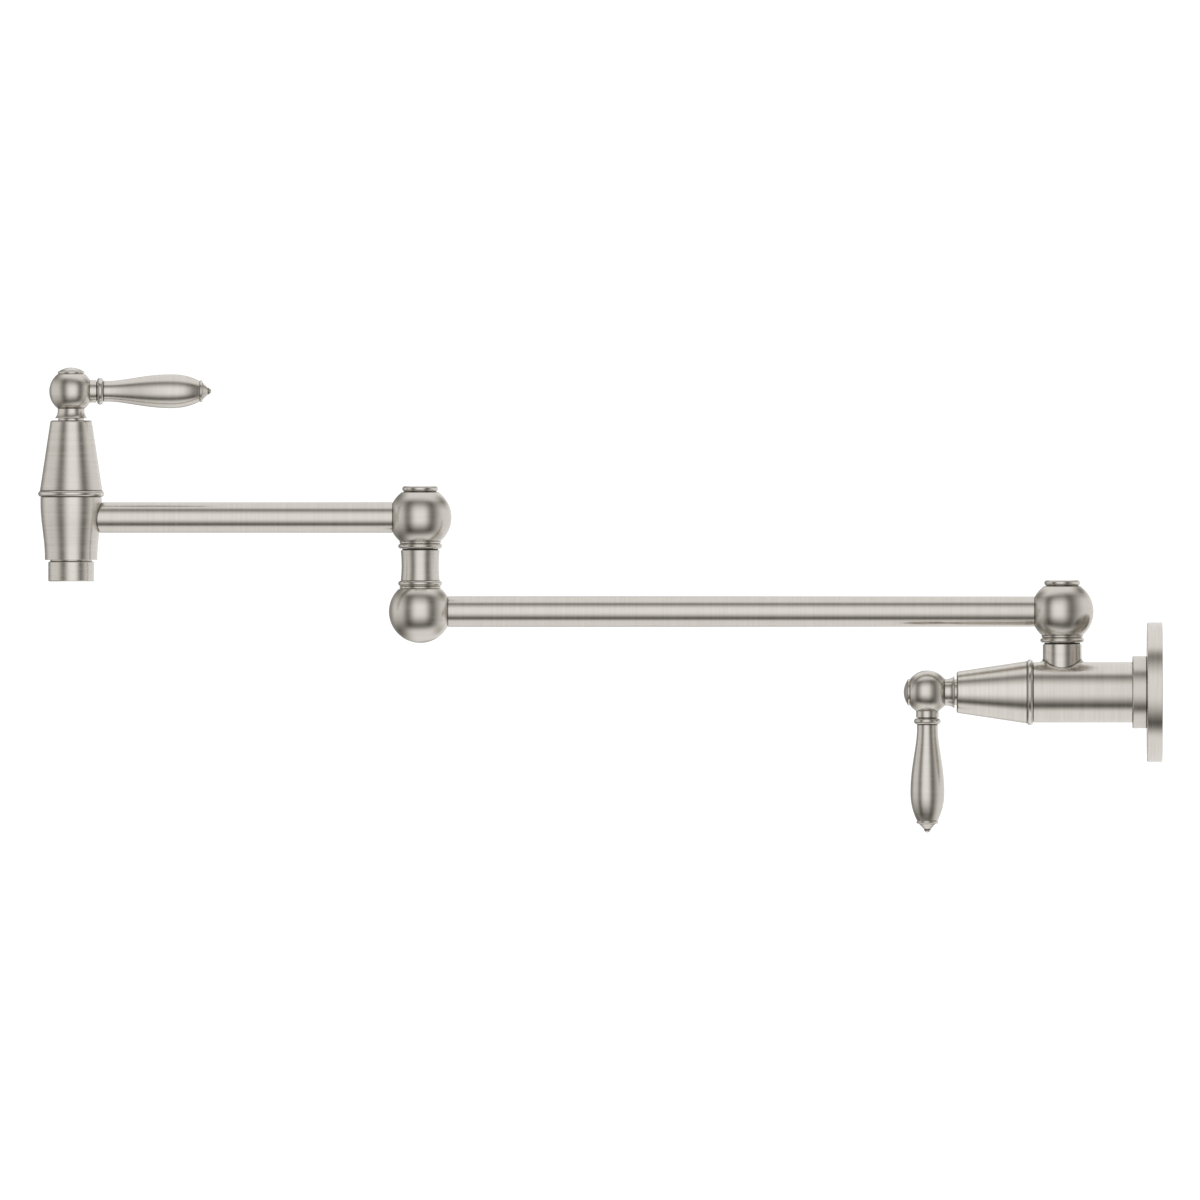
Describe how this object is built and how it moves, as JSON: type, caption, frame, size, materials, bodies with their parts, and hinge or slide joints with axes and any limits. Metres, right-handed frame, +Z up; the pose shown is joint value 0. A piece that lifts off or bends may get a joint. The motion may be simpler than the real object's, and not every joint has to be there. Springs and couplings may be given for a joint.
{
  "type": "pot filler",
  "caption": "Wall-mounted swing-arm pot filler with jointed arms, quarter-turn lever valves and an aerated spout, in brushed nickel.",
  "frame": {"origin": "centre of the supply inlet, in the plane of the wall", "axes": "+X into the wall along the inlet, +Z up, both arms reach out along -X at rest"},
  "size_m": [0.6071, 0.0754, 0.2511],
  "materials": {
    "brushed_nickel": "brushed nickel plating on turned and cast brass",
    "turned_brass": "bare turned brass",
    "plain_steel": "stainless steel",
    "seal_rubber": "moulded rubber",
    "disc_ceramic": "lapped ceramic",
    "moulded_plastic": "moulded white acetal",
    "glide_plastic": "moulded black acetal"
  },
  "bodies": {
    "wall_body": {"wall_flange": "brushed_nickel", "flange_gasket": "seal_rubber", "mounting_bracket": "plain_steel", "flange_collar": "brushed_nickel", "collar_set_screw": "plain_steel", "valve_body": "brushed_nickel", "wall_bonnet": "brushed_nickel", "wall_stem_bush": "brushed_nickel", "wall_cartridge_body": "turned_brass", "wall_cartridge_oring": "seal_rubber", "wall_seat_seal": "seal_rubber", "wall_fixed_disc": "disc_ceramic", "wall_swivel_ring": "glide_plastic", "wall_swivel_spindle": "turned_brass", "wall_swivel_orings": "seal_rubber", "wall_swivel_washer": "plain_steel", "wall_swivel_nut": "turned_brass"},
    "wall_handle": {"wall_moving_disc": "disc_ceramic", "wall_stem": "turned_brass", "wall_stem_orings": "seal_rubber", "wall_stem_clip": "plain_steel", "wall_lever_hub": "brushed_nickel", "wall_hub_cap": "brushed_nickel", "wall_handle_screw": "plain_steel", "wall_lever": "brushed_nickel", "wall_lever_finial": "brushed_nickel"},
    "lower_arm": {"wall_swivel_ball": "brushed_nickel", "wall_swivel_cap": "brushed_nickel", "lower_arm_tube": "brushed_nickel", "elbow_lower_ball": "brushed_nickel", "elbow_neck": "brushed_nickel", "elbow_swivel_ring": "glide_plastic", "elbow_swivel_spindle": "turned_brass", "elbow_swivel_orings": "seal_rubber", "elbow_swivel_washer": "plain_steel", "elbow_swivel_nut": "turned_brass"},
    "upper_arm": {"elbow_swivel_ball": "brushed_nickel", "elbow_swivel_cap": "brushed_nickel", "upper_arm_tube": "brushed_nickel", "spout_body": "brushed_nickel", "aerator_housing": "brushed_nickel", "aerator_insert": "moulded_plastic", "aerator_screen": "plain_steel", "aerator_washer": "seal_rubber", "spout_bonnet": "brushed_nickel", "spout_stem_bush": "brushed_nickel", "spout_cartridge_body": "turned_brass", "spout_cartridge_oring": "seal_rubber", "spout_seat_seal": "seal_rubber", "spout_fixed_disc": "disc_ceramic"},
    "spout_handle": {"spout_moving_disc": "disc_ceramic", "spout_stem": "turned_brass", "spout_stem_orings": "seal_rubber", "spout_stem_clip": "plain_steel", "spout_lever_hub": "brushed_nickel", "spout_hub_cap": "brushed_nickel", "spout_handle_screw": "plain_steel", "spout_lever": "brushed_nickel", "spout_lever_finial": "brushed_nickel"}
  },
  "joints": [
    {"name": "wall_swivel", "type": "hinge", "parent": "wall_body", "child": "lower_arm", "pos_m": [-0.054, 0, 0.04355], "axis": [0, 0, 1], "range_deg": [-90, 90]},
    {"name": "elbow_swivel", "type": "hinge", "parent": "lower_arm", "child": "upper_arm", "pos_m": [-0.4007, 0, 0.09435], "axis": [0, 0, 1], "continuous": true},
    {"name": "wall_lever_turn", "type": "hinge", "parent": "wall_body", "child": "wall_handle", "pos_m": [-0.1268, 0, 0], "axis": [-1, 0, 0], "range_deg": [0, 90]},
    {"name": "spout_lever_turn", "type": "hinge", "parent": "upper_arm", "child": "spout_handle", "pos_m": [-0.5892, 0, 0.09435], "axis": [0, 0, 1], "range_deg": [0, 90]}
  ]
}
